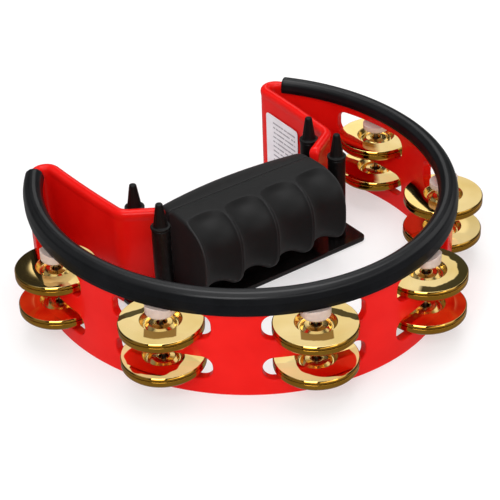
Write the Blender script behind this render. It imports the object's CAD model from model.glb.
"""Looks for a half-moon tambourine, built round the CAD frame.

The instrument lies flat on z = 0. Its wall follows a slightly oval ring about the
origin, closed towards -y and open towards +y, where each end turns back in a hairpin
towards the handle. The handle lies along x, near y = 0. Units are metres.
"""
import math
from collections import namedtuple
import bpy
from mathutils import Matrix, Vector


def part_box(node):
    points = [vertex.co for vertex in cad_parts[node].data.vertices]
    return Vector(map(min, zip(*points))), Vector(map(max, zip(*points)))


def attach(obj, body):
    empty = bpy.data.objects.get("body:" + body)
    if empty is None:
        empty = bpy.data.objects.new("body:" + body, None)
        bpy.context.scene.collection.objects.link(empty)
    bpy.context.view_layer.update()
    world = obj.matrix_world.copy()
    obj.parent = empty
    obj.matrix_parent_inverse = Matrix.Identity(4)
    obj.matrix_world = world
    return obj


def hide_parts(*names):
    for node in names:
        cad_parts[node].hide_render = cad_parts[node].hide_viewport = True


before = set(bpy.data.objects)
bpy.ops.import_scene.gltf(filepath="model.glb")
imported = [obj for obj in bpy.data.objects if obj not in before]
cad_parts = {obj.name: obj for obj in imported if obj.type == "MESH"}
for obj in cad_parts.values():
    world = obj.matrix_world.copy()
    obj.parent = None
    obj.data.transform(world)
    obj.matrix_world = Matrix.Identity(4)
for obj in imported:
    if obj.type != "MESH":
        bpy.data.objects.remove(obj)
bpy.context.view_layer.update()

from types import SimpleNamespace

import bmesh
import bpy
import mathutils
from mathutils import Matrix, Vector

MM = 0.001
BODY = "body"

# ---------------------------------------------------------------------------
# dimensions shared with the CAD part
RING_R, RING_OVAL = 120.0 * MM, 0.0367
HAIRPIN_DEG, HAIRPIN_R = 47.5, 6.2 * MM
RETURN_END, RETURN_FILLET = (73.6 * MM, 10.8 * MM), 9.0 * MM
RETURN_BOW = 0.6 * MM
LEG_END = (52.5 * MM, -2.8 * MM)
WALL_T, WALL_H, WALL_OFFSET = 5.4 * MM, 62.0 * MM, 0.5 * MM
BEAD_T, BEAD_Z = 6.2 * MM, 55.0 * MM
SLOT_LEN, SLOT_CORNER = 56.0 * MM, 6.2 * MM
LOWER_SLOT, UPPER_SLOT = (9.9 * MM, 23.9 * MM), (35.4 * MM, 50.9 * MM)
TRIM_DEG, TRIM_R, TRIM_Z = 49.3, 5.8 * MM, 59.6 * MM
DISC_R, CAP_H, PAN_H, DISC_T = 23.0 * MM, 1.9 * MM, 4.3 * MM, 0.5 * MM
DISC_HOLE_R = 2.6 * MM
BUSH_R = 8.1 * MM
PIN_BORE_R = 1.5 * MM       # bore of the bushes and spacers
FIT = 0.3 * MM

# level directions of the view
TOWARD_EYE = (-0.569, -0.822, 0.0)
AWAY_FROM_EYE = (0.569, 0.822, 0.0)
VIEW_RIGHT = (0.822, -0.569, 0.0)


def smooth(start, end, value):
    f = max(0.0, min(1.0, (value - start) / (end - start)))
    return f * f * (3.0 - 2.0 * f)


def quarter_round(k, steps):
    """Step k of a unit quarter round: distances left to its two tangent lines."""
    phi = math.pi / 2.0 * k / steps
    return 1.0 - math.sin(phi), 1.0 - math.cos(phi)


# ---------------------------------------------------------------------------
# mesh helpers

def add_object(name, data):
    obj = bpy.data.objects.new(name, data)
    bpy.context.scene.collection.objects.link(obj)
    return obj


def register(obj, node, rides=BODY):
    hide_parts(node)
    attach(obj, rides)


def shade_smooth(mesh):
    for polygon in mesh.polygons:
        polygon.use_smooth = True


def make_piece(name, verts, faces, material):
    """A cleaned, smooth-shaded mesh object."""
    mesh = bpy.data.meshes.new(name)
    mesh.from_pydata([tuple(v) for v in verts], [], faces)
    bm = bmesh.new()
    bm.from_mesh(mesh)
    bmesh.ops.remove_doubles(bm, verts=bm.verts, dist=2e-6)
    bmesh.ops.dissolve_degenerate(bm, edges=bm.edges, dist=1e-7)
    bmesh.ops.recalc_face_normals(bm, faces=bm.faces)
    bm.to_mesh(mesh)
    bm.free()
    shade_smooth(mesh)
    mesh.materials.append(material)
    return add_object(name, mesh)


def weight_normals(obj):
    mod = obj.modifiers.new("normals", "WEIGHTED_NORMAL")
    mod.keep_sharp = True
    mod.weight = 60


def bridge(loops):
    """Quads between each closed loop of vertex indices and the next."""
    faces = []
    for a, b in zip(loops, loops[1:]):
        for i in range(len(a)):
            j = (i + 1) % len(a)
            faces.append((a[i], a[j], b[j], b[i]))
    return faces


def angle_between(u, v):
    return math.acos(max(-1.0, min(1.0, u.dot(v))))


def corner_arc(corner, to_before, to_after, angle, reach, radius, steps):
    """The arc that rounds a corner, touching both sides at `reach` from it."""
    centre = corner + (to_before + to_after).normalized() * (radius / math.sin(angle / 2.0))
    start = corner + to_before * reach - centre
    end = corner + to_after * reach - centre
    first = math.atan2(start.y, start.x)
    turn = (math.atan2(end.y, end.x) - first + math.pi) % (2.0 * math.pi) - math.pi
    points = []
    for k in range(steps + 1):
        a = first + turn * k / steps
        points.append(centre + Vector((math.cos(a), math.sin(a))) * radius)
    return points


def rounded_outline(rows, steps=6, closed=True):
    """Rows of (x, y, corner radius) turned into an outline with rounded corners."""
    out = []
    n = len(rows)
    for i, (x, y, radius) in enumerate(rows):
        corner = Vector((x, y))
        if (not closed and i in (0, n - 1)) or radius <= 0.0:
            out.append(corner)
            continue
        u = Vector(rows[i - 1][:2]) - corner
        v = Vector(rows[(i + 1) % n][:2]) - corner
        # an arc takes at most 0.48 of either side
        limit_u, limit_v = 0.48 * u.length, 0.48 * v.length
        u.normalize()
        v.normalize()
        angle = angle_between(u, v)
        if angle > math.pi - 0.02 or angle < 0.02:
            out.append(corner)
            continue
        reach = min(radius / math.tan(angle / 2.0), limit_u, limit_v)
        out.extend(corner_arc(corner, u, v, angle, reach, reach * math.tan(angle / 2.0), steps))
    return [tuple(p) for p in out]


def lathe(name, profile, segments, material, closed=True, x=0.0, y=0.0):
    """A (radius, height) outline turned about a vertical axis."""
    verts, faces = [], []
    n = len(profile)
    for k in range(segments):
        a = 2.0 * math.pi * k / segments
        for radius, z in profile:
            verts.append((x + radius * math.cos(a), y + radius * math.sin(a), z))
    for k in range(segments):
        k2 = (k + 1) % segments
        for i in range(n if closed else n - 1):
            j = (i + 1) % n
            faces.append((k * n + i, k2 * n + i, k2 * n + j, k * n + j))
    return make_piece(name, verts, faces, material)


# ---------------------------------------------------------------------------
# plan curve of the wall

def ring_base(t):
    """Point of the oval ring; t runs anticlockwise from +y."""
    radius = RING_R * (1.0 + RING_OVAL * math.cos(2.0 * t))
    return Vector((-radius * math.sin(t), radius * math.cos(t)))


def ring_normal(t):
    """Outward normal of the ring."""
    d = 1e-4
    tangent = (ring_base(t + d) - ring_base(t - d)).normalized()
    return Vector((tangent.y, -tangent.x))


def left_path():
    """The wall's left half: ring from -y, hairpin, return run, fillet and leg."""
    ring_steps, hairpin_steps, run_steps, fillet_steps, leg_steps = 130, 24, 40, 16, 8
    end = math.radians(HAIRPIN_DEG)
    pts = []
    for k in range(ring_steps + 1):
        t = math.pi + (end - math.pi) * k / ring_steps
        pts.append(ring_base(t) + ring_normal(t) * WALL_OFFSET)

    normal = ring_normal(end)
    centre = pts[-1] - normal * HAIRPIN_R
    corner = Vector((-RETURN_END[0], RETURN_END[1]))
    leg = Vector((-LEG_END[0], LEG_END[1]))
    first, heading = math.atan2(normal.y, normal.x), math.atan2(-normal.x, normal.y)

    def hairpin_point(turned):
        a = first - turned
        return centre + Vector((math.cos(a), math.sin(a))) * HAIRPIN_R

    # the turn that leaves the hairpin aimed at the corner, found by iteration
    turn = math.radians(150.0)
    for _ in range(30):
        want = corner - hairpin_point(turn)
        turn = (heading - math.atan2(want.y, want.x)) % (2.0 * math.pi)
    for k in range(1, hairpin_steps + 1):
        pts.append(hairpin_point(turn * k / hairpin_steps))

    start = pts[-1]
    u, v = (start - corner).normalized(), (leg - corner).normalized()
    angle = angle_between(u, v)
    reach = RETURN_FILLET / math.tan(angle / 2.0)
    bend = corner_arc(corner, u, v, angle, reach, RETURN_FILLET, fillet_steps)
    run = bend[0] - start
    across = Vector((run.y, -run.x)).normalized()
    for k in range(1, run_steps):
        f = k / float(run_steps)
        pts.append(start + run * f + across * (RETURN_BOW * math.sin(math.pi * f)))
    pts.extend(bend)
    for k in range(1, leg_steps + 1):
        pts.append(bend[-1].lerp(leg, k / float(leg_steps)))
    return pts


class Rail:
    """A plan curve with arc length, position and sideways direction."""

    def __init__(self, points):
        self.points = points
        self.lengths = [0.0]
        for a, b in zip(points, points[1:]):
            self.lengths.append(self.lengths[-1] + (b - a).length)
        self.length = self.lengths[-1]
        self.normals = []
        for i in range(len(points)):
            a, b = points[max(0, i - 1)], points[min(len(points) - 1, i + 1)]
            t = (b - a).normalized()
            self.normals.append(Vector((t.y, -t.x)))

    def locate(self, along):
        """Position and normal at an arc length."""
        along = max(0.0, min(self.length, along))
        lo, hi = 0, len(self.lengths) - 1
        while hi - lo > 1:
            mid = (lo + hi) // 2
            if self.lengths[mid] <= along:
                lo = mid
            else:
                hi = mid
        f = (along - self.lengths[lo]) / max(1e-12, self.lengths[hi] - self.lengths[lo])
        return (self.points[lo].lerp(self.points[hi], f),
                self.normals[lo].lerp(self.normals[hi], f).normalized())

    def nearest(self, x, y):
        q = Vector((x, y))
        return self.lengths[min(range(len(self.points)),
                                key=lambda k: (self.points[k] - q).length)]

    def at(self, along, out, z):
        """Point at an arc length, a distance out from the curve, and a height."""
        p, normal = self.locate(along)
        return (p.x + normal.x * out, p.y + normal.y * out, z)


left = left_path()
RAIL = Rail(list(reversed(left)) + [Vector((-p.x, p.y)) for p in left[1:]])

# a jingle station: pin centre, arc length on the wall, angle of the wall's outward normal
Station = namedtuple("Station", "number x y along facing")


def find_station(number):
    low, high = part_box("pin_%d" % number)
    centre = (low + high) / 2.0
    along = RAIL.nearest(centre.x, centre.y)
    normal = RAIL.locate(along)[1]
    return Station(number, centre.x, centre.y, along, math.atan2(normal.y, normal.x))


STATIONS = [find_station(number) for number in range(1, 7)]


def stand_at(obj, station, z):
    """Stand a piece on a station's axis, its local +x facing out of the wall."""
    obj.location = (station.x, station.y, z)
    obj.rotation_euler = (0.0, 0.0, station.facing)


# ---------------------------------------------------------------------------
# shader helpers

class Graph:
    """Short ways to add nodes to a shader tree; most return an output socket."""

    def __init__(self, tree):
        self.tree = tree

    def add(self, kind):
        return self.tree.nodes.new("ShaderNode" + kind)

    def feed(self, socket, value):
        """Link a socket, or set its value; a three-part colour gets alpha 1."""
        if isinstance(value, bpy.types.NodeSocket):
            self.tree.links.new(value, socket)
            return
        if isinstance(value, tuple) and len(value) < len(socket.default_value):
            value += (1.0,)
        socket.default_value = value

    def math(self, operation, first, second=None):
        node = self.add("Math")
        node.operation = operation
        self.feed(node.inputs[0], first)
        if second is not None:
            self.feed(node.inputs[1], second)
        return node.outputs[0]

    def multiply(self, result, *factors):
        for factor in factors:
            result = self.math("MULTIPLY", result, factor)
        return result

    def inverse(self, value):
        return self.math("SUBTRACT", 1.0, value)

    def length(self, x, y):
        return self.math("SQRT", self.math("ADD", self.multiply(x, x), self.multiply(y, y)))

    def dot(self, vector, axis):
        node = self.add("VectorMath")
        node.operation = "DOT_PRODUCT"
        self.feed(node.inputs[0], vector)
        node.inputs[1].default_value = axis
        return node.outputs["Value"]

    def split(self, vector):
        node = self.add("SeparateXYZ")
        self.feed(node.inputs[0], vector)
        return node.outputs

    def remap(self, value, first, last, start=0.0, end=1.0, interpolation="LINEAR"):
        """Goes from `first` to `last` while the value goes from `start` to `end`."""
        node = self.add("MapRange")
        node.interpolation_type = interpolation
        node.inputs["From Min"].default_value = start
        node.inputs["From Max"].default_value = end
        node.inputs["To Min"].default_value = first
        node.inputs["To Max"].default_value = last
        self.feed(node.inputs["Value"], value)
        return node.outputs["Result"]

    def rise(self, value, start, end):
        return self.remap(value, 0.0, 1.0, start, end)

    def fall(self, value, start, end):
        return self.remap(value, 1.0, 0.0, start, end)


class Material(Graph):
    def __init__(self, name):
        self.mat = bpy.data.materials.new(name)
        self.mat.use_nodes = True
        super().__init__(self.mat.node_tree)
        self.bsdf = self.tree.nodes["Principled BSDF"]
        self.place = self.add("TexCoord").outputs["Object"]

    def put(self, values):
        """Set or link inputs of the principled shader."""
        for key, value in values.items():
            self.feed(self.bsdf.inputs[key], value)

    def noise(self, scale, detail=4.0, rough=0.6, stretch=None, source=None):
        node = self.add("TexNoise")
        node.inputs["Scale"].default_value = scale
        node.inputs["Detail"].default_value = detail
        node.inputs["Roughness"].default_value = rough
        source = source or self.place
        if stretch:
            mapping = self.add("Mapping")
            mapping.inputs["Scale"].default_value = stretch
            self.feed(mapping.inputs["Vector"], source)
            source = mapping.outputs["Vector"]
        self.feed(node.inputs["Vector"], source)
        return node.outputs["Fac"]

    def ramp(self, value, start, first, end, last):
        """Colour `first` up to `start`, blending to `last` at `end`."""
        node = self.add("ValToRGB")
        stops = node.color_ramp.elements
        stops[0].position, stops[0].color = start, first + (1.0,)
        stops[1].position, stops[1].color = end, last + (1.0,)
        self.feed(node.inputs["Fac"], value)
        return node.outputs["Color"]

    def mix(self, amount, under, over):
        node = self.add("Mix")
        node.data_type = "RGBA"
        # inputs 6 and 7 are the node's colour pair
        for key, value in ((0, amount), (6, under), (7, over)):
            self.feed(node.inputs[key], value)
        return node.outputs[2]

    def bump(self, height, strength, distance, under=None):
        """Relief from a height, on top of another relief if one is given."""
        node = self.add("Bump")
        node.inputs["Strength"].default_value = strength
        node.inputs["Distance"].default_value = distance
        self.feed(node.inputs["Height"], height)
        if under is not None:
            self.feed(node.inputs["Normal"], under)
        return node.outputs["Normal"]

    def glow_over(self, mask, color, strength=1.0):
        """Replace the surface by an even glow where the mask is 1."""
        glow = self.add("Emission")
        self.feed(glow.inputs["Color"], color)
        glow.inputs["Strength"].default_value = strength
        join = self.add("MixShader")
        for key, value in enumerate((mask, self.bsdf.outputs[0], glow.outputs[0])):
            self.feed(join.inputs[key], value)
        self.feed(self.tree.nodes["Material Output"].inputs["Surface"], join.outputs[0])


# ---------------------------------------------------------------------------
# plastics and rubbers

def make_red():
    m = Material("red_gloss_plastic")
    cloud = m.noise(scale=38.0, detail=3.0, rough=0.55)
    grain = m.noise(scale=900.0, detail=2.0, rough=0.5)
    peel = m.bump(m.noise(scale=160.0, detail=2.0, rough=0.5), strength=0.10, distance=0.0004)
    m.put({
        "Base Color": m.ramp(cloud, start=0.30, first=(0.72, 0.006, 0.004),
                             end=0.70, last=(0.80, 0.010, 0.007)),
        "Roughness": m.remap(m.noise(scale=70.0), first=0.16, last=0.27),
        "Specular IOR Level": 0.17,
        "Coat Weight": 0.06,
        "Coat Roughness": 0.06,
        "Subsurface Weight": 0.06,
        "Subsurface Radius": (0.9, 0.1, 0.05),
        "Subsurface Scale": 0.003,
        "Normal": m.bump(grain, strength=0.04, distance=0.0001, under=peel)})
    return m.mat


def make_trim():
    m = Material("trim_rubber_satin")
    dust = m.noise(scale=1400.0, detail=2.0)
    color = m.ramp(m.noise(scale=45.0), start=0.30, first=(0.0032, 0.0035, 0.0042),
                   end=0.72, last=(0.0065, 0.0070, 0.0085))
    speck = m.rise(dust, start=0.66, end=0.78)
    upward = m.split(m.add("NewGeometry").outputs["Normal"])[2]
    fine = m.bump(dust, strength=0.10, distance=0.00008)
    m.put({
        "Base Color": m.mix(m.multiply(speck, 0.35), under=color, over=(0.05, 0.055, 0.06)),
        "Roughness": m.remap(m.noise(scale=120.0), first=0.28, last=0.37),
        # the flanks, which take handling, are duller than the crown
        "Specular IOR Level": m.remap(upward, first=0.10, last=0.40, start=0.05, end=0.75),
        "Normal": m.bump(m.noise(scale=210.0, detail=3.0, rough=0.5),
                         strength=0.07, distance=0.0003, under=fine)})
    return m.mat


def make_grip():
    m = Material("grip_rubber_moulded")
    color = m.ramp(m.noise(scale=42.0), start=0.28, first=(0.0028, 0.0028, 0.0029),
                   end=0.75, last=(0.0060, 0.0060, 0.0062))
    # worn ridges are paler
    ridge = m.rise(m.add("NewGeometry").outputs["Pointiness"], start=0.515, end=0.60)
    fine = m.bump(m.noise(scale=1100.0, detail=3.0), strength=0.16, distance=0.00012)
    m.put({
        "Base Color": m.mix(ridge, under=color, over=(0.045, 0.045, 0.046)),
        "Roughness": m.remap(m.noise(scale=60.0), first=0.50, last=0.62),
        "Specular IOR Level": 0.25,
        "Sheen Weight": 0.04,
        "Sheen Roughness": 0.5,
        "Normal": m.bump(m.noise(scale=95.0, detail=3.0, rough=0.5),
                         strength=0.06, distance=0.0004, under=fine)})
    return m.mat


def make_core(name, smoothest, roughest, speck_amount, specular, tone=1.0):
    """Black plastic; `tone` scales how light the black is."""
    m = Material(name)
    color = m.ramp(m.noise(scale=55.0),
                   start=0.3, first=tuple(c * tone for c in (0.0055, 0.005, 0.005)),
                   end=0.7, last=tuple(c * tone for c in (0.012, 0.0105, 0.0105)))
    dust = m.noise(scale=1500.0, detail=2.0, stretch=(1.0, 1.0, 0.35))
    # worn specks gather where the surface turns away
    rim = m.add("LayerWeight")
    rim.inputs["Blend"].default_value = 0.35
    speck = m.multiply(m.rise(dust, start=0.58, end=0.68),
                       m.remap(rim.outputs["Facing"], first=0.05, last=1.0, start=0.45, end=0.85),
                       speck_amount)
    fine = m.bump(dust, strength=0.25 * speck_amount + 0.05, distance=0.0001)
    m.put({
        "Base Color": m.mix(speck, under=color, over=(0.30, 0.29, 0.33)),
        "Roughness": m.remap(m.noise(scale=80.0), first=smoothest, last=roughest),
        "Specular IOR Level": specular,
        "Normal": m.bump(m.noise(scale=140.0, detail=2.0, rough=0.5),
                         strength=0.08, distance=0.0003, under=fine)})
    return m.mat


def make_nylon():
    m = Material("bush_nylon")
    m.put({
        "Base Color": m.ramp(m.noise(scale=180.0, detail=3.0),
                             start=0.3, first=(0.60, 0.47, 0.42),
                             end=0.7, last=(0.70, 0.57, 0.51)),
        "Roughness": m.remap(m.noise(scale=240.0, detail=3.0), first=0.28, last=0.42),
        "Subsurface Weight": 0.35,
        "Subsurface Radius": (1.0, 0.8, 0.75),
        "Subsurface Scale": 0.003,
        "Specular IOR Level": 0.45,
        "Normal": m.bump(m.noise(scale=700.0, detail=2.0, rough=0.5),
                         strength=0.06, distance=0.0001)})
    return m.mat


# ---------------------------------------------------------------------------
# metals

def make_steel():
    m = Material("pin_steel")
    m.put({
        "Base Color": m.ramp(m.noise(scale=300.0, stretch=(1.0, 1.0, 0.2)),
                             start=0.3, first=(0.22, 0.20, 0.18),
                             end=0.7, last=(0.42, 0.40, 0.37)),
        "Metallic": 1.0,
        "Roughness": m.remap(m.noise(scale=900.0, detail=3.0), first=0.22, last=0.38),
        "Normal": m.bump(m.noise(scale=1600.0, detail=2.0, rough=0.5, stretch=(1.0, 1.0, 0.1)),
                         strength=0.10, distance=0.0001)})
    return m.mat


def start_brass(name, rim_start, smoothest, roughest):
    """Polished brass, deeper in colour outside `rim_start`.

    Returns the material, the distance from the disc's axis, the spots and the roughness.
    """
    m = Material(name)
    cloud = m.noise(scale=60.0)
    across = m.split(m.place)
    radius = m.length(across[0], across[1])
    flank = m.rise(radius, start=rim_start, end=rim_start + 0.4 * MM)
    gold = m.ramp(cloud, start=0.25, first=(0.93, 0.62, 0.19), end=0.75, last=(0.99, 0.74, 0.30))
    deep = m.ramp(cloud, start=0.25, first=(0.52, 0.23, 0.020),
                  end=0.75, last=(0.70, 0.36, 0.045))
    spots = m.rise(m.noise(scale=520.0, detail=3.0, rough=0.7), start=0.70, end=0.80)
    # spun lines run round the disc: noise of the radius alone
    line = m.add("TexNoise")
    line.noise_dimensions = "1D"
    line.inputs["Scale"].default_value = 2600.0
    line.inputs["Detail"].default_value = 3.0
    m.feed(line.inputs["W"], radius)
    spun = m.bump(line.outputs["Fac"], strength=0.04, distance=0.00003)
    m.put({
        "Base Color": m.mix(m.multiply(spots, 0.35), under=m.mix(flank, gold, deep),
                            over=(0.45, 0.27, 0.06)),
        "Metallic": 1.0,
        "Normal": m.bump(m.noise(scale=70.0, detail=2.0, rough=0.5),
                         strength=0.05, distance=0.0005, under=spun)})
    return m, radius, spots, m.remap(m.noise(scale=90.0), first=smoothest, last=roughest)


def make_brass():
    m, _, _, roughness = start_brass("polished_brass", rim_start=20.8 * MM,
                                     smoothest=0.05, roughest=0.10)
    m.put({"Roughness": roughness})
    return m.mat


def upper_reflection(m, disc):
    """Mask and colour of an upper cap: a dark streak on the far side, a brown patch nearer."""
    toward, outward = disc.toward, disc.outward
    middle = m.inverse(disc.outer)
    wobble = m.remap(m.noise(scale=150.0, detail=2.0, rough=0.5),
                     first=-0.7 * MM, last=0.7 * MM, start=0.3, end=0.7)
    slant = m.math("SUBTRACT", toward, m.multiply(outward, 0.55))
    from_streak = m.math("ADD", slant, m.math("ADD", wobble, 14.0 * MM))
    streak = m.multiply(
        m.fall(m.math("ABSOLUTE", from_streak), start=2.5 * MM, end=2.8 * MM),
        m.rise(m.math("ADD", outward, wobble), start=4.6 * MM, end=5.0 * MM),
        middle)
    patch = m.multiply(
        m.fall(m.math("ADD", disc.radius, wobble), start=17.2 * MM, end=17.8 * MM),
        m.rise(toward, start=5.0 * MM, end=6.0 * MM),
        m.fall(m.math("ABSOLUTE", outward), start=8.2 * MM, end=8.7 * MM),
        middle)
    # discs at the sides of the near half are shaded along the outward rim
    shade = m.multiply(
        m.rise(m.math("ADD", disc.radius, m.multiply(wobble, 1.4)),
               start=17.0 * MM, end=17.5 * MM),
        m.rise(m.math("ADD", outward, m.multiply(toward, 0.3)), start=-1.0 * MM, end=1.5 * MM))
    streak = m.math("MAXIMUM", streak, m.multiply(shade, disc.flank_near))
    color = m.mix(m.multiply(patch, 0.90), under=disc.cream, over=(0.22, 0.10, 0.012))
    color = m.mix(m.multiply(streak, 0.95), under=color, over=(0.012, 0.010, 0.001))
    return disc.mask, color


def lower_reflection(m, disc):
    """Mask and colour of a lower cap: the frame in a patch set off toward the viewer."""
    patch_radius = m.length(m.math("SUBTRACT", disc.toward, 4.0 * MM),
                            m.math("SUBTRACT", disc.outward, 4.5 * MM))
    wave = m.remap(m.noise(scale=85.0, detail=1.0, rough=0.4),
                   first=0.0, last=2.0 * MM, start=0.3, end=0.7)
    ring = m.math("MAXIMUM",
                  m.rise(m.math("ADD", patch_radius, wave), start=16.8 * MM, end=17.1 * MM),
                  m.multiply(disc.flank_far, m.inverse(disc.inward)))
    mask = m.multiply(disc.mask, ring)
    # at the sides of the near half the whole face mirrors the red frame
    outside = m.rise(disc.outward, start=-6.0 * MM, end=2.0 * MM)
    frame_seen = m.multiply(m.multiply(disc.face, disc.flank_near), m.multiply(outside, 0.85))
    mask = m.math("MAXIMUM", m.multiply(mask, m.inverse(disc.flank_near)), frame_seen)
    red = m.ramp(m.noise(scale=60.0, detail=2.0, rough=0.5),
                 start=0.35, first=(0.44, 0.003, 0.001), end=0.65, last=(0.60, 0.026, 0.004))
    return mask, m.mix(disc.flank_near, disc.cream, red)


def make_cap_brass(name, reflection, cover, glow):
    """Brass whose flat annulus shows the bright room, by `cover` and at strength `glow`."""
    m, radius, spots, roughness = start_brass(name, rim_start=22.4 * MM,
                                              smoothest=0.04, roughest=0.08)
    hub = m.remap(radius, first=0.13, last=0.0, start=10.8 * MM, end=11.6 * MM)
    m.put({"Roughness": m.math("ADD", roughness, hub)})

    disc = SimpleNamespace(radius=radius)
    geometry = m.add("NewGeometry").outputs
    # the part of the annulus that faces the bright end of the room
    bright = m.fall(m.dot(geometry["Incoming"], VIEW_RIGHT), start=0.105, end=0.135)
    upward = m.split(geometry["True Normal"])[2]
    disc.face = m.multiply(m.rise(radius, start=11.2 * MM, end=11.6 * MM),
                           m.fall(radius, start=22.3 * MM, end=22.5 * MM),
                           m.rise(upward, start=0.90, end=0.98))
    mask = m.multiply(disc.face, bright, cover)

    # place on the disc: toward the eye, and outward from the middle of the view
    centre = m.add("ObjectInfo").outputs["Location"]
    offset = m.add("VectorMath")
    offset.operation = "SUBTRACT"
    m.feed(offset.inputs[0], geometry["Position"])
    m.feed(offset.inputs[1], centre)
    offset = offset.outputs["Vector"]
    disc_side = m.dot(centre, VIEW_RIGHT)
    disc.toward = m.dot(offset, TOWARD_EYE)
    disc.outward = m.multiply(m.dot(offset, VIEW_RIGHT), m.math("SIGN", disc_side))

    # discs at the sides of the near half, and of the far half, show other parts of the room
    disc.outer = m.rise(m.math("ABSOLUTE", disc_side), start=78.0 * MM, end=82.0 * MM)
    near = m.rise(m.dot(centre, TOWARD_EYE), start=8.0 * MM, end=12.0 * MM)
    disc.flank_near = m.multiply(disc.outer, near)
    disc.flank_far = m.multiply(disc.outer, m.inverse(near))
    disc.inward = m.fall(disc.outward, start=-3.0 * MM, end=1.0 * MM)
    disc.mask = m.multiply(mask, m.inverse(m.multiply(disc.flank_far, disc.inward)))

    cream = m.ramp(m.noise(scale=28.0, detail=3.0), start=0.3, first=(0.80, 0.575, 0.20),
                   end=0.7, last=(0.94, 0.735, 0.35))
    disc.cream = m.mix(m.multiply(spots, 0.16), under=cream, over=(0.62, 0.45, 0.14))
    mask, color = reflection(m, disc)
    m.glow_over(mask, color, strength=glow)
    return m.mat


RED, TRIM, GRIP = make_red(), make_trim(), make_grip()
BRASS = make_brass()
BRASS_UPPER = make_cap_brass("polished_brass_upper", upper_reflection, cover=0.97, glow=0.96)
BRASS_LOWER = make_cap_brass("polished_brass_lower", lower_reflection, cover=0.78, glow=1.0)
STEEL, NYLON = make_steel(), make_nylon()
PLATE = make_core("plate_gloss_black", smoothest=0.10, roughest=0.20,
                  speck_amount=0.0, specular=0.5)
TUBE = make_core("tube_black", smoothest=0.30, roughest=0.44,
                 speck_amount=0.60, specular=0.30, tone=0.25)
CONE = make_core("cone_black", smoothest=0.42, roughest=0.56,
                 speck_amount=0.06, specular=0.30, tone=0.2)


# ---------------------------------------------------------------------------
# frame shell: a flat plate with slots, wrapped on the plan curve.
# Outline rows are (arc length, height, inward direction in both, edge radius).

EDGE_R, TOP_R, EDGE_STEPS = 0.9 * MM, 2.7 * MM, 5
TOP_CORNER_R = 4.2 * MM         # free top corners, seen from the side
WALL_STEP = 1.6 * MM
SLOT_STRETCH = 1.009            # slots measured along the curve are a little longer
# heights of the points inside the faces, in millimetres, closest where the bead swells
FACE_ROWS = [4.0, 9.0, 14.0, 19.0, 25.5, 29.6, 33.6, 38.0, 42.5, 47.0, 51.4, 53.4, 54.8,
             55.6, 56.1, 56.6, 57.1, 57.6, 58.1, 58.6]


def wall_outline(marks):
    """The plate's outer edge: bottom, right end, top, left end."""
    length = RAIL.length
    clear = EDGE_R + 0.5 * MM
    bottom = []
    for s in marks:
        # points too near an end would cross its rounding
        if 0.0 < s < clear or length - clear < s < length:
            continue
        inward = {0.0: 1.0, length: -1.0}.get(s, 0.0)
        bottom.append((s, 0.0, inward, 1.0, EDGE_R))
    heights = [z for z in (WALL_H * k / 24.0 for k in range(1, 24)) if z <= WALL_H - TOP_CORNER_R]
    right = [(length, z, -1.0, 0.0, EDGE_R) for z in heights]
    left_end = [(0.0, z, 1.0, 0.0, EDGE_R) for z in reversed(heights)]
    top = [(s, WALL_H, 0.0, -1.0, TOP_R) for s in reversed(marks)
           if min(s, length - s) >= TOP_CORNER_R]

    def top_corner(centre, sign):
        rows = []
        for k in range(1, 10):
            a = math.pi / 2.0 * k / 10
            rows.append((centre + sign * TOP_CORNER_R * math.cos(a),
                         WALL_H - TOP_CORNER_R + TOP_CORNER_R * math.sin(a),
                         -sign * math.cos(a), -math.sin(a),
                         EDGE_R + (TOP_R - EDGE_R) * (k / 10)))
        return rows

    return (bottom + right + top_corner(length - TOP_CORNER_R, 1.0) + top
            + top_corner(TOP_CORNER_R, -1.0)[::-1] + left_end)


def slot_outline(along, z0, z1):
    half_w, half_h = SLOT_LEN / 2.0 * SLOT_STRETCH, (z1 - z0) / 2.0
    middle = (z0 + z1) / 2.0
    corners = []
    for side_s, side_z, first in ((1, 1, 0.0), (-1, 1, 90.0), (-1, -1, 180.0), (1, -1, 270.0)):
        s = along + side_s * (half_w - SLOT_CORNER)
        z = middle + side_z * (half_h - SLOT_CORNER)
        for k in range(11):
            a = math.radians(first + 9.0 * k)
            corners.append((s + SLOT_CORNER * math.cos(a), z + SLOT_CORNER * math.sin(a),
                            math.cos(a), math.sin(a), EDGE_R))
    # the straight runs get points at the wall's step
    rows = []
    for i, (s, z, ds, dz, radius) in enumerate(corners):
        rows.append(corners[i])
        s2, z2 = corners[(i + 1) % len(corners)][:2]
        run = math.hypot(s2 - s, z2 - z)
        if run > 1.5 * WALL_STEP:
            parts = int(run / WALL_STEP)
            for k in range(1, parts):
                f = k / parts
                rows.append((s + (s2 - s) * f, z + (z2 - z) * f, ds, dz, radius))
    return rows


def inside_polygon(polygon, x, y):
    hit = False
    for i, (x0, y0) in enumerate(polygon):
        x1, y1 = polygon[(i + 1) % len(polygon)]
        if (y0 > y) != (y1 > y) and x < (x1 - x0) * (y - y0) / (y1 - y0) + x0:
            hit = not hit
    return hit


def inside_box(box, x, y, margin=0.0):
    x0, x1, y0, y1 = box
    return x0 - margin < x < x1 + margin and y0 - margin < y < y1 + margin


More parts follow.
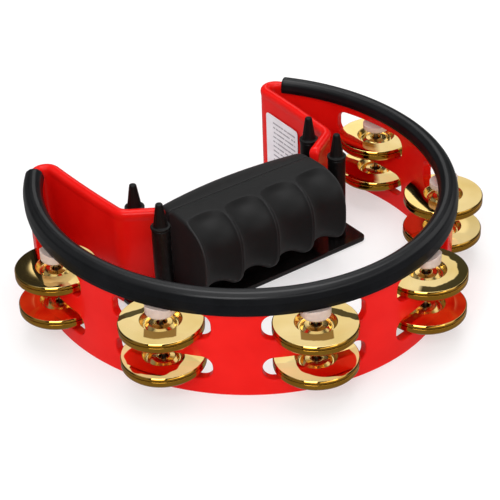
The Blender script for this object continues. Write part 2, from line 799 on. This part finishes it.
def fill_triangles(polygons, boxes, grid):
    """Triangles of the first polygon less the others, through the grid points."""
    points, edges = [], []
    for polygon in polygons:
        start, n = len(points), len(polygon)
        points.extend(polygon)
        edges.extend((start + i, start + (i + 1) % n) for i in range(n))
    points.extend(grid)
    corners, _, triangles, sources, _, _ = mathutils.geometry.delaunay_2d_cdt(
        [Vector(p) for p in points], edges, [], 0, 1e-7)
    kept = []
    for triangle in triangles:
        x = sum(corners[i][0] for i in triangle) / len(triangle)
        y = sum(corners[i][1] for i in triangle) / len(triangle)
        if not inside_polygon(polygons[0], x, y):
            continue
        if any(inside_box(box, x, y) and inside_polygon(hole, x, y)
               for hole, box in zip(polygons[1:], boxes)):
            continue
        kept.append([sources[i][0] for i in triangle])
    return kept


def build_frame():
    length = RAIL.length
    half_wall = WALL_T / 2.0
    count = int(length / WALL_STEP)
    marks = [length * k / count for k in range(count + 1)]
    outlines = [wall_outline(marks)]
    for station in STATIONS:
        for z0, z1 in (LOWER_SLOT, UPPER_SLOT):
            outlines.append(slot_outline(station.along, z0, z1))
    verts, faces = [], []

    def put(s, z, out):
        # the wall thickens to a rolled bead near the top
        swell = smooth(BEAD_Z + 0.6 * MM, BEAD_Z + 3.6 * MM, z)
        half = half_wall + (BEAD_T - WALL_T) / 2.0 * swell
        verts.append(RAIL.at(s, out * half / half_wall, z))
        return len(verts) - 1

    # rounded edges, from the outer face (side 1) over to the inner one (side -1)
    face_ids = {1: [], -1: []}
    polygons = []
    for rows in outlines:
        loops = []
        for side in (1, -1):
            for k in range(EDGE_STEPS + 1):
                drop, inset = quarter_round(EDGE_STEPS - k if side == 1 else k, EDGE_STEPS)
                loops.append([put(s + ds * r * inset, z + dz * r * inset,
                                  side * (half_wall - min(r, half_wall) * drop))
                              for s, z, ds, dz, r in rows])
        faces.extend(bridge(loops))
        polygons.append([(s + ds * r, z + dz * r) for s, z, ds, dz, r in rows])
        face_ids[1].extend(loops[0])
        face_ids[-1].extend(loops[-1])

    # both faces are filled through an even grid that keeps clear of the slots
    boxes = []
    for hole in polygons[1:]:
        along, heights = [p[0] for p in hole], [p[1] for p in hole]
        boxes.append((min(along), max(along), min(heights), max(heights)))
    grid = []
    for s in marks[1:-1]:
        if s < 2.0 * MM or s > length - 2.0 * MM:
            continue
        for row in FACE_ROWS:
            z = row * MM
            if not any(inside_box(box, s, z, margin=0.7 * MM) for box in boxes):
                grid.append((s, z))
    for side in (1, -1):
        face_ids[side].extend([put(s, z, side * half_wall) for s, z in grid])
    for triangle in fill_triangles(polygons, boxes, grid):
        for side in (1, -1):
            faces.append(tuple(face_ids[side][i] for i in triangle))
    obj = make_piece("frame_shell", verts, faces, RED)
    weight_normals(obj)
    register(obj, "frame")


build_frame()


# ---------------------------------------------------------------------------
# rubber trim over the wall's top edge

# scale of the section at distances (in millimetres) from each end
TRIM_END_SCALES = [(0.0, 0.80), (0.15, 0.90), (0.4, 0.96), (0.8, 0.99), (1.3, 1.0)]
TRIM_STEPS = 300


def trim_section():
    """The channel's section: (distance out from the ring, height)."""
    r, z = TRIM_R, TRIM_Z
    wall, bead = WALL_T / 2.0, BEAD_T / 2.0
    out_bead, out_wall = WALL_OFFSET + bead + FIT, WALL_OFFSET + wall + FIT
    in_bead = bead + FIT - WALL_OFFSET
    # out, height, corner radius
    return rounded_outline([
        # outer lip
        (out_wall, 52.3 * MM, 0.5 * MM),
        (out_wall + 1.7 * MM, 52.3 * MM, 0.7 * MM),
        (r - 0.1 * MM, 54.9 * MM, 2.0 * MM),
        # crown
        (r, z, 3.0 * MM),
        (r * 0.80, z + r * 0.66, 3.0 * MM),
        (r * 0.36, z + r * 0.97, 3.0 * MM),
        (0.0, z + r, 3.0 * MM),
        (-r * 0.36, z + r * 0.97, 3.0 * MM),
        (-r * 0.80, z + r * 0.66, 3.0 * MM),
        (-r, z, 2.0 * MM),
        # inner lip
        (-r + 0.5 * MM, 57.2 * MM, 0.9 * MM),
        (-in_bead - 0.9 * MM, 56.6 * MM, 0.4 * MM),
        # channel round the bead
        (-in_bead, 56.6 * MM, 0.3 * MM),
        (-in_bead, WALL_H - 1.6 * MM, 1.0 * MM),
        (WALL_OFFSET - bead * 0.5, WALL_H + FIT, 0.8 * MM),
        (WALL_OFFSET + bead * 0.5, WALL_H + FIT, 0.8 * MM),
        (out_bead, WALL_H - 1.6 * MM, 1.0 * MM),
        (out_bead, BEAD_Z + 0.9 * MM, 0.3 * MM),
        (out_wall, BEAD_Z - 0.4 * MM, 0.3 * MM)], 4)


def build_trim():
    section = trim_section()
    n = len(section)
    mid_out = sum(p[0] for p in section) / n
    mid_z = sum(p[1] for p in section) / n + 1.5 * MM
    # stations round the ring: (angle, scale of the section)
    end = math.radians(TRIM_DEG)
    total = 2.0 * math.pi - 2.0 * end
    clear = 2.0 * MM / RING_R
    marks = [(end + d * MM / RING_R, scale) for d, scale in TRIM_END_SCALES]
    for k in range(1, TRIM_STEPS):
        t = end + total * k / TRIM_STEPS
        if t - end > clear and 2 * math.pi - end - t > clear:
            marks.append((t, 1.0))
    for d, scale in reversed(TRIM_END_SCALES):
        marks.append((2.0 * math.pi - end - d * MM / RING_R, scale))

    verts = []
    for t, scale in marks:
        p, normal = ring_base(t), ring_normal(t)
        for out, height in section:
            out = mid_out + (out - mid_out) * scale
            verts.append((p.x + normal.x * out, p.y + normal.y * out,
                          mid_z + (height - mid_z) * scale))
    loops = [range(a * n, (a + 1) * n) for a in range(len(marks))]
    faces = bridge(loops) + [tuple(loops[0]), tuple(reversed(loops[-1]))]
    obj = make_piece("rim_trim_skin", verts, faces, TRIM)
    # the two end faces are not convex
    bm = bmesh.new()
    bm.from_mesh(obj.data)
    bmesh.ops.triangulate(bm, faces=[f for f in bm.faces if len(f.verts) > 8])
    bm.to_mesh(obj.data)
    bm.free()
    shade_smooth(obj.data)
    weight_normals(obj)
    register(obj, "rim_trim")


build_trim()


# ---------------------------------------------------------------------------
# jingles: a dished cap over a pan, both measured from the plane where they meet.
# Profile rows are (radius, height, corner radius).

CAP_TOP = [
    (DISC_HOLE_R, 0.20 * MM, 0.0),
    (3.6 * MM, 0.35 * MM, 0.8 * MM),
    (6.3 * MM, 0.05 * MM, 1.2 * MM),
    (8.3 * MM, -1.45 * MM, 1.2 * MM),
    (9.7 * MM, -1.45 * MM, 0.9 * MM),
    (11.3 * MM, CAP_H, 0.5 * MM),
    (DISC_R - 0.55 * MM, CAP_H, 0.35 * MM),
    (DISC_R, CAP_H - 0.75 * MM, 0.4 * MM),
    (DISC_R - 0.02 * MM, 0.22 * MM, 0.1 * MM),
    (DISC_R - 0.25 * MM, 0.0, 0.0)]
CAP_UNDERSIDE = [
    (DISC_R - 0.45 * MM, 0.0, 0.0),
    (DISC_R - 0.55 * MM, 0.9 * MM, 0.3 * MM),
    (DISC_R - 1.0 * MM, CAP_H - DISC_T, 0.4 * MM),
    (11.7 * MM, CAP_H - DISC_T, 0.4 * MM),
    (10.0 * MM, -1.95 * MM, 0.8 * MM),
    (8.0 * MM, -1.95 * MM, 0.9 * MM),
    (6.0 * MM, -0.48 * MM, 1.0 * MM),
    (3.6 * MM, -0.18 * MM, 0.8 * MM),
    (DISC_HOLE_R, -0.25 * MM, 0.0)]
PAN_INSIDE = [
    (DISC_HOLE_R, -PAN_H + 0.5 * MM, 0.0),
    (20.4 * MM, -PAN_H + 0.5 * MM, 1.2 * MM),
    (DISC_R - 0.7 * MM, -2.7 * MM, 1.2 * MM),
    (DISC_R - 0.5 * MM, 0.0, 0.0)]
PAN_OUTSIDE = [
    (DISC_R - 0.2 * MM, 0.0, 0.0),
    (DISC_R, -0.2 * MM, 0.1 * MM),
    (DISC_R, -2.7 * MM, 1.2 * MM),
    (DISC_R - 1.5 * MM, -PAN_H, 1.0 * MM),
    (DISC_HOLE_R, -PAN_H, 0.0)]


def build_jingles():
    cap = rounded_outline(CAP_TOP, closed=False) + rounded_outline(CAP_UNDERSIDE, closed=False)
    pan = rounded_outline(PAN_INSIDE, closed=False) + rounded_outline(PAN_OUTSIDE, closed=False)
    shared = {}         # one mesh for each material
    for station in STATIONS:
        for level, cap_brass in (("lower", BRASS_LOWER), ("upper", BRASS_UPPER)):
            for part, profile, rise, brass in (("cap", cap, CAP_H, cap_brass),
                                               ("pan", pan, 0.0, BRASS)):
                node = "jingle_%d_%s_%s" % (station.number, level, part)
                if brass.name in shared:
                    obj = add_object(node + "_skin", shared[brass.name])
                else:
                    obj = lathe(node + "_skin", profile, 112, brass)
                    shared[brass.name] = obj.data
                stand_at(obj, station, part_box(node)[1].z - rise)
                register(obj, node, rides=node)


build_jingles()


# ---------------------------------------------------------------------------
# pins, bushes, spacers

def build_pin(station):
    node = "pin_%d" % station.number
    low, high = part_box(node)
    radius = (high.x - low.x) / 2.0
    profile = rounded_outline([
        (0.0, low.z, 0.0), (radius, low.z, 0.3 * MM),
        (radius, high.z, 0.3 * MM), (0.0, high.z, 0.0)], 4, closed=False)
    obj = lathe(node + "_rod", profile, 28, STEEL, closed=False, x=station.x, y=station.y)
    register(obj, node)


def build_bush(station):
    node = "bush_%d" % station.number
    low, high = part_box(node)
    top = high.z
    profile = rounded_outline([
        (PIN_BORE_R, top, 0.0), (PIN_BORE_R, low.z, 0.3 * MM),
        (BUSH_R, low.z, 1.7 * MM), (BUSH_R, top, 0.0)], 8, closed=False)
    profile += [(BUSH_R - 0.55 * MM * k, top) for k in range(1, 12)]
    obj = lathe(node + "_sleeve", profile, 64, NYLON)
    # over the wall it stops at the slot's upper edge; outside the trim it stands beside it
    bm = bmesh.new()
    bm.from_mesh(obj.data)
    for v in bm.verts:
        if v.co.z > top - 0.01 * MM:
            if v.co.x < WALL_T / 2.0 + FIT:
                v.co.z = UPPER_SLOT[1] - FIT
            else:
                v.co.z = min(52.0 * MM + 0.55 * max(0.0, v.co.x - 4.9 * MM), 53.6 * MM)
    bm.to_mesh(obj.data)
    bm.free()
    obj.data.set_sharp_from_angle(angle=math.radians(32.0))
    stand_at(obj, station, 0.0)
    register(obj, node)


def build_spacer(station):
    node = "spacer_%d" % station.number
    low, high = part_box(node)
    outer_r = 4.6 * MM
    profile = rounded_outline([
        (PIN_BORE_R, high.z, 0.2 * MM), (PIN_BORE_R, low.z, 0.2 * MM),
        (outer_r, low.z, 0.5 * MM), (outer_r, high.z, 0.5 * MM)], 4)
    obj = lathe(node + "_ring", profile, 40, NYLON, x=station.x, y=station.y)
    register(obj, node)


for station in STATIONS:
    build_pin(station)
    build_bush(station)
    build_spacer(station)


# ---------------------------------------------------------------------------
# handle core: base plate, spine, and four tubes with fluted cone plugs

PLATE_X, PLATE_Y, PLATE_T = 75.8 * MM, (-24.5 * MM, 21.5 * MM), 3.0 * MM
SPINE_X, SPINE_Y, SPINE_TOP = 47.0 * MM, (-8.0 * MM, 4.0 * MM), 47.6 * MM
POST_X, POST_BACK_Y, POST_FRONT_Y = 62.0 * MM, 14.3 * MM, -12.5 * MM
POST_R, POST_BORE, POST_TOP = 5.3 * MM, 3.3 * MM, 57.0 * MM
PLUG_R, COLLAR_R, COLLAR_H = 3.0 * MM, 5.7 * MM, 1.5 * MM
FLUTES, FLUTE_DEPTH = 8, 0.055      # depth as a share of the radius


def slab(name, half_x, span_y, corner, corner_steps, span_z, edge):
    """A box with rounded upright corners and rounded edges."""
    y0, y1 = span_y
    z0, z1 = span_z
    rows = [(-half_x, y0, corner), (half_x, y0, corner),
            (half_x, y1, corner), (-half_x, y1, corner)]
    pts = [Vector(p) for p in rounded_outline(rows, corner_steps)]
    n = len(pts)
    normals = []
    for i in range(n):
        t = (pts[(i + 1) % n] - pts[i - 1]).normalized()
        normals.append(Vector((t.y, -t.x)))
    rounds = [quarter_round(k, 4) for k in range(5)]
    levels = [(z0 + edge * rise, edge * inset) for rise, inset in reversed(rounds)]
    levels += [(z1 - edge * drop, edge * inset) for drop, inset in rounds]
    verts = []
    for z, inset in levels:
        for p, normal in zip(pts, normals):
            q = p - normal * inset
            verts.append((q.x, q.y, z))
    loops = [range(k * n, (k + 1) * n) for k in range(len(levels))]
    faces = bridge(loops) + [tuple(reversed(loops[0])), tuple(loops[-1])]
    obj = make_piece(name, verts, faces, PLATE)
    weight_normals(obj)
    register(obj, "handle_core")


def build_tube(tag, x, y):
    bottom = 0.4 * MM
    profile = rounded_outline([
        (POST_BORE, bottom, 0.2 * MM), (POST_R, bottom, 0.2 * MM),
        (POST_R, POST_TOP, 0.6 * MM), (POST_BORE, POST_TOP, 0.4 * MM)], 4)
    obj = lathe("handle_tube_" + tag, profile, 56, TUBE, x=x, y=y)
    register(obj, "handle_core")


def build_plug(tag, x, y):
    """A shank in the tube, a collar over it and a fluted cone on top."""
    node = "cone_pin_" + tag
    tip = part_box(node)[1].z
    collar = POST_TOP + FIT
    # radius, height, corner radius
    profile = rounded_outline([
        (0.0, 1.0 * MM, 0.0),
        (2.2 * MM, 1.0 * MM, 0.3 * MM),
        (PLUG_R, 2.5 * MM, 0.3 * MM),
        (PLUG_R, collar - 0.02 * MM, 0.05 * MM),
        (COLLAR_R, collar, 0.35 * MM),
        (COLLAR_R, collar + COLLAR_H, 0.5 * MM),
        (4.15 * MM, collar + COLLAR_H, 0.5 * MM),
        (2.15 * MM, tip - 1.0 * MM, 0.3 * MM),
        (1.9 * MM, tip, 0.7 * MM),
        (0.0, tip, 0.0)], 4, closed=False)
    # the cone gets enough rings to carry the flutes
    dense = []
    for a, b in zip(profile, profile[1:]):
        on_cone = a[1] > collar + 1.6 * MM
        parts = max(1, int(abs(b[1] - a[1]) / (1.2 * MM))) if on_cone else 1
        dense.append(a)
        for k in range(1, parts):
            dense.append((a[0] + (b[0] - a[0]) * k / parts, a[1] + (b[1] - a[1]) * k / parts))
    dense.append(profile[-1])
    obj = lathe(node + "_plug", dense, 96, CONE, closed=False)
    flute_start, flute_end = collar + 2.2 * MM, tip - 1.6 * MM
    for v in obj.data.vertices:
        h = (v.co.z - flute_start) / (flute_end - flute_start)
        if 0.0 < h < 1.0:
            a = math.atan2(v.co.y, v.co.x)
            groove = (0.5 + 0.5 * math.cos(FLUTES * a)) ** 3
            k = 1.0 - FLUTE_DEPTH * groove * smooth(0.0, 0.12, h) * smooth(0.0, 0.12, 1.0 - h)
            v.co.x *= k
            v.co.y *= k
    obj.location = (x, y, 0.0)
    register(obj, node)


slab("handle_base_plate", PLATE_X, PLATE_Y, corner=4.0 * MM, corner_steps=8,
     span_z=(0.0, PLATE_T), edge=0.7 * MM)
slab("handle_spine", SPINE_X, SPINE_Y, corner=1.2 * MM, corner_steps=4,
     span_z=(PLATE_T - 0.5 * MM, SPINE_TOP), edge=0.5 * MM)
# left and right are -x and +x; back and front are +y and -y
for tag, x, y in (("lb", -POST_X, POST_BACK_Y), ("lf", -POST_X, POST_FRONT_Y),
                  ("rb", POST_X, POST_BACK_Y), ("rf", POST_X, POST_FRONT_Y)):
    build_tube(tag, x, y)
    build_plug(tag, x, y)


# ---------------------------------------------------------------------------
# grip: a palm shell (+y) and a finger shell (-y) that meet near y = SEAM_Y

GRIP_X, GRIP_Z, GRIP_HALF_Z, GRIP_Y = 50.0 * MM, 34.5 * MM, 24.2 * MM, -9.0 * MM
GRIP_FINGER, PALM_MID, PALM_END, POWER = 29.0 * MM, 33.5 * MM, 26.5 * MM, 2.7
GROOVES, GROOVE_D, SEAM_Y = 4, 7.4 * MM, -2.0 * MM
GROOVE_SHY = 2.0 * MM               # taken off the groove depth, leaving flat ridges
GRIP_RIM, RIM_STEPS = 2.4 * MM, 6   # rounding at the grip's ends
SEAM_ROLL, ROLL_ROWS = 0.55 * MM, 5
GRIP_COLUMNS, PALM_ROWS, FINGER_ROWS = 260, 110, 210


def grip_section(s, a):
    """Offset (y, z) from the grip's axis, at s from -1 to 1 along x and angle a from +y."""
    c, n = math.cos(a), math.sin(a)
    palm = PALM_END + (PALM_MID - PALM_END) * (1.0 - s * s)
    side = palm if c >= 0.0 else GRIP_FINGER
    y = math.copysign(abs(c) ** (2.0 / POWER), c) * side
    z = math.copysign(abs(n) ** (2.0 / POWER), n) * GRIP_HALF_Z
    phase = (s + 1.0) / 2.0 * GROOVES
    frac = phase - math.floor(phase)
    # each finger hollow is a scoop with a crisp border and a narrow ridge to the next
    scoop = math.sin(math.pi * frac) ** 0.55 * smooth(1.0 * MM, 17.0 * MM, -y)
    sink = max(0.0, GROOVE_D * scoop - GROOVE_SHY)
    y += sink if y < 0.0 else 0.0
    # the section narrows by 1.9 % for each millimetre of sink
    z *= 1.0 - 0.019 * sink / MM
    return y, z


def seam_angle(s):
    """The section angle at which the surface crosses the seam plane."""
    lo, hi = 0.0, math.pi / 2.0
    for _ in range(40):
        mid = (lo + hi) / 2.0
        if GRIP_Y + grip_section(s, mid)[0] > SEAM_Y:
            lo = mid
        else:
            hi = mid
    return (lo + hi) / 2.0


def grip_stations():
    """(place along the grip from -1 to 1, inset of the section)."""
    rim = []
    for k in range(RIM_STEPS + 1):
        inset, along = quarter_round(k, RIM_STEPS)
        rim.append((-1.0 + GRIP_RIM / GRIP_X * along, GRIP_RIM * inset))
    a, b = rim[-1][0], -rim[-1][0]
    body = [(a + (b - a) * k / GRIP_COLUMNS, 0.0) for k in range(1, GRIP_COLUMNS)]
    return rim + body + [(-s, inset) for s, inset in reversed(rim)]


def build_grip_shell(node, palm):
    rows = PALM_ROWS if palm else FINGER_ROWS
    stations = grip_stations()
    verts = []
    for s, inset in stations:
        section_s = max(-0.9999, min(0.9999, s))
        seam = seam_angle(section_s)
        first = -seam if palm else seam
        sweep = 2.0 * seam if palm else 2.0 * math.pi - 2.0 * seam
        for i in range(rows + 1):
            y, z = grip_section(section_s, first + sweep * i / rows)
            k = max(0.0, 1.0 - inset / max(1e-6, math.hypot(y, z)))
            y, z = GRIP_Y + y * k, z * k
            # the two shells meet in a shallow rounded groove
            edge = min(i, rows - i)
            if edge < ROLL_ROWS:
                z -= math.copysign(SEAM_ROLL * quarter_round(edge, ROLL_ROWS)[0], z)
            if palm:
                y = max(y, SEAM_Y + FIT / 2.0)
            else:
                y = min(y, SEAM_Y - FIT / 2.0)
            verts.append((GRIP_X * s, y, GRIP_Z + z))
    n = rows + 1
    loops = [range(c * n, (c + 1) * n) for c in range(len(stations))]
    faces = bridge(loops)
    # end caps: fans to a middle point
    for loop, (s, _) in ((loops[0], stations[0]), (loops[-1], stations[-1])):
        verts.append((GRIP_X * s, sum([verts[i][1] for i in loop]) / n,
                      sum([verts[i][2] for i in loop]) / n))
        for i in range(n):
            faces.append((loop[i], loop[(i + 1) % n], len(verts) - 1))
    obj = make_piece(node + "_skin", verts, faces, GRIP)
    weight_normals(obj)
    register(obj, node)


build_grip_shell("grip_palm", palm=True)
build_grip_shell("grip_fingers", palm=False)


# ---------------------------------------------------------------------------
# label: the CAD sheet with a printed look made of plain bars

LABEL_ROWS = 12.0


def make_label():
    m = Material("label_film")
    low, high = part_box("label")
    place = m.split(m.place)
    # up is height; across runs towards -y; both go from 0 to 1
    up = m.rise(place[2], start=low.z, end=high.z)
    across = m.fall(place[1], start=low.y, end=high.y)

    def between(value, low, high):
        return m.multiply(m.math("GREATER_THAN", value, low), m.math("LESS_THAN", value, high))

    bar = between(m.math("FRACT", m.multiply(up, LABEL_ROWS)), low=0.40, high=0.72)
    # each row is broken into words by its own strip of noise
    strip = m.add("CombineXYZ")
    m.feed(strip.inputs[0], m.multiply(across, 26.0))
    m.feed(strip.inputs[1], m.multiply(m.math("FLOOR", m.multiply(up, LABEL_ROWS)), 7.3))
    words = m.noise(scale=1.0, detail=1.0, rough=0.5, source=strip.outputs[0])
    margins = m.multiply(between(across, low=0.22, high=0.93), between(up, low=0.10, high=0.92))
    ink = m.multiply(bar, m.math("GREATER_THAN", words, 0.41), margins)
    paper = m.ramp(m.noise(scale=120.0, detail=3.0), start=0.3, first=(0.80, 0.76, 0.80),
                   end=0.7, last=(0.88, 0.85, 0.89))
    m.put({
        "Base Color": m.mix(m.multiply(ink, 0.75), under=paper, over=(0.16, 0.14, 0.17)),
        "Roughness": m.remap(m.noise(scale=300.0, detail=3.0), first=0.32, last=0.45),
        "Normal": m.bump(m.noise(scale=900.0, detail=2.0, rough=0.5),
                         strength=0.05, distance=0.0001)})
    return m.mat


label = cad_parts["label"]
label.data.materials.clear()
label.data.materials.append(make_label())


# ---------------------------------------------------------------------------
# stage: floor, room, lights, camera

def make_floor_material():
    m = Material("floor_white")
    m.put({
        "Base Color": m.ramp(m.noise(scale=3.0, detail=2.0, rough=0.5),
                             start=0.3, first=(0.50, 0.495, 0.495),
                             end=0.7, last=(0.53, 0.525, 0.525)),
        "Roughness": 0.9,
        "Specular IOR Level": 0.0,
        "Emission Color": (1.0, 1.0, 1.0),
        "Emission Strength": 0.50})
    # polished parts see the table as a dim even sheet
    m.glow_over(m.add("LightPath").outputs["Is Glossy Ray"], (0.26, 0.26, 0.26))
    return m.mat


def build_floor():
    bm = bmesh.new()
    bmesh.ops.create_grid(bm, x_segments=2, y_segments=2, size=6.0)
    mesh = bpy.data.meshes.new("floor")
    bm.to_mesh(mesh)
    bm.free()
    mesh.materials.append(make_floor_material())
    floor = add_object("floor", mesh)
    floor.location = (0.0, 0.0, -0.3 * MM)


def build_world():
    """A bright even room; polished surfaces see a dark one with soft boxes."""
    world = bpy.data.worlds.new("studio")
    bpy.context.scene.world = world
    world.use_nodes = True
    g = Graph(world.node_tree)

    def step(value, start, end):
        return g.remap(value, 0.0, 1.0, start, end, interpolation="SMOOTHSTEP")

    def band(value, low, high, soft):
        return g.multiply(step(value, low - soft, low + soft),
                          g.inverse(step(value, high - soft, high + soft)))

    def choose(switch, on, off):
        return g.math("ADD", g.multiply(switch, on), g.multiply(g.inverse(switch), off))

    direction = g.add("VectorMath")
    direction.operation = "NORMALIZE"
    g.feed(direction.inputs[0], g.add("TexCoord").outputs["Generated"])
    direction = direction.outputs[0]
    away = g.dot(direction, AWAY_FROM_EYE)
    side = g.dot(direction, VIEW_RIGHT)
    up = g.dot(direction, (0.0, 0.0, 1.0))

    # the last factor of each box is its brightness
    back_box = g.multiply(band(side, low=-0.118, high=0.125, soft=0.012),
                          band(up, low=0.38, high=0.66, soft=0.03),
                          step(away, start=0.30, end=0.50), 1.15)
    top_box = g.multiply(step(up, start=0.80, end=0.90), 0.75)
    left_box = g.multiply(band(side, low=-0.90, high=-0.55, soft=0.04),
                          band(up, low=0.30, high=0.75, soft=0.04), 0.22)
    right_box = g.multiply(band(side, low=0.55, high=0.90, soft=0.04),
                           band(up, low=0.30, high=0.70, soft=0.04), 0.90)
    dark_room, even_room, backdrop = 0.03, 0.62, 1.05
    sides = g.math("ADD", g.math("ADD", left_box, right_box), dark_room)
    boxes = g.math("ADD", g.math("ADD", back_box, top_box), sides)
    rays = g.add("LightPath").outputs
    level = choose(rays["Is Glossy Ray"], on=boxes, off=even_room)
    level = choose(rays["Is Camera Ray"], on=backdrop, off=level)
    background = world.node_tree.nodes["Background"]
    background.inputs["Color"].default_value = (1.0, 0.995, 0.99, 1.0)
    g.feed(background.inputs["Strength"], level)


def area_light(name, place, aim, size_x, size_y, power):
    data = bpy.data.lights.new(name, "AREA")
    data.shape = "RECTANGLE"
    data.size, data.size_y = size_x, size_y
    data.energy = power
    obj = add_object(name, data)
    obj.location = place
    direction = Vector(aim) - Vector(place)
    obj.rotation_euler = direction.to_track_quat("-Z", "Y").to_euler()
    obj.visible_camera = False


def build_camera():
    data = bpy.data.cameras.new("view")
    data.sensor_fit = "HORIZONTAL"
    data.sensor_width = 36.0
    data.lens = 111.48768
    data.shift_x, data.shift_y = -0.0004, -0.0002
    data.clip_start, data.clip_end = 0.05, 50.0
    camera = add_object("view", data)
    eye = Vector((-434.2, -636.0, 509.6)) * MM
    aim = Vector((13.75, 11.05, 0.0)) * MM
    roll = -0.04        # radians about the line of sight
    forward = (aim - eye).normalized()
    level = forward.cross(Vector((0, 0, 1))).normalized()
    plumb = forward.cross(level).normalized()
    right = level * math.cos(roll) - plumb * math.sin(roll)
    down = level * math.sin(roll) + plumb * math.cos(roll)
    camera.matrix_world = Matrix((
        (right.x, -down.x, -forward.x, eye.x),
        (right.y, -down.y, -forward.y, eye.y),
        (right.z, -down.z, -forward.z, eye.z),
        (0, 0, 0, 1)))
    bpy.context.scene.camera = camera


build_floor()
build_world()
area_light("key", place=(-1.1, -0.9, 1.3), aim=(0, 0, 0.03), size_x=0.9, size_y=0.9, power=13.0)
area_light("front", place=(-0.2, -1.6, 0.7), aim=(0, 0, 0.03), size_x=1.2, size_y=0.6, power=4.0)
area_light("top", place=(0.3, 0.3, 1.6), aim=(0, 0, 0.0), size_x=1.2, size_y=1.2, power=12.0)
build_camera()
bpy.context.scene.view_settings.view_transform = "Standard"
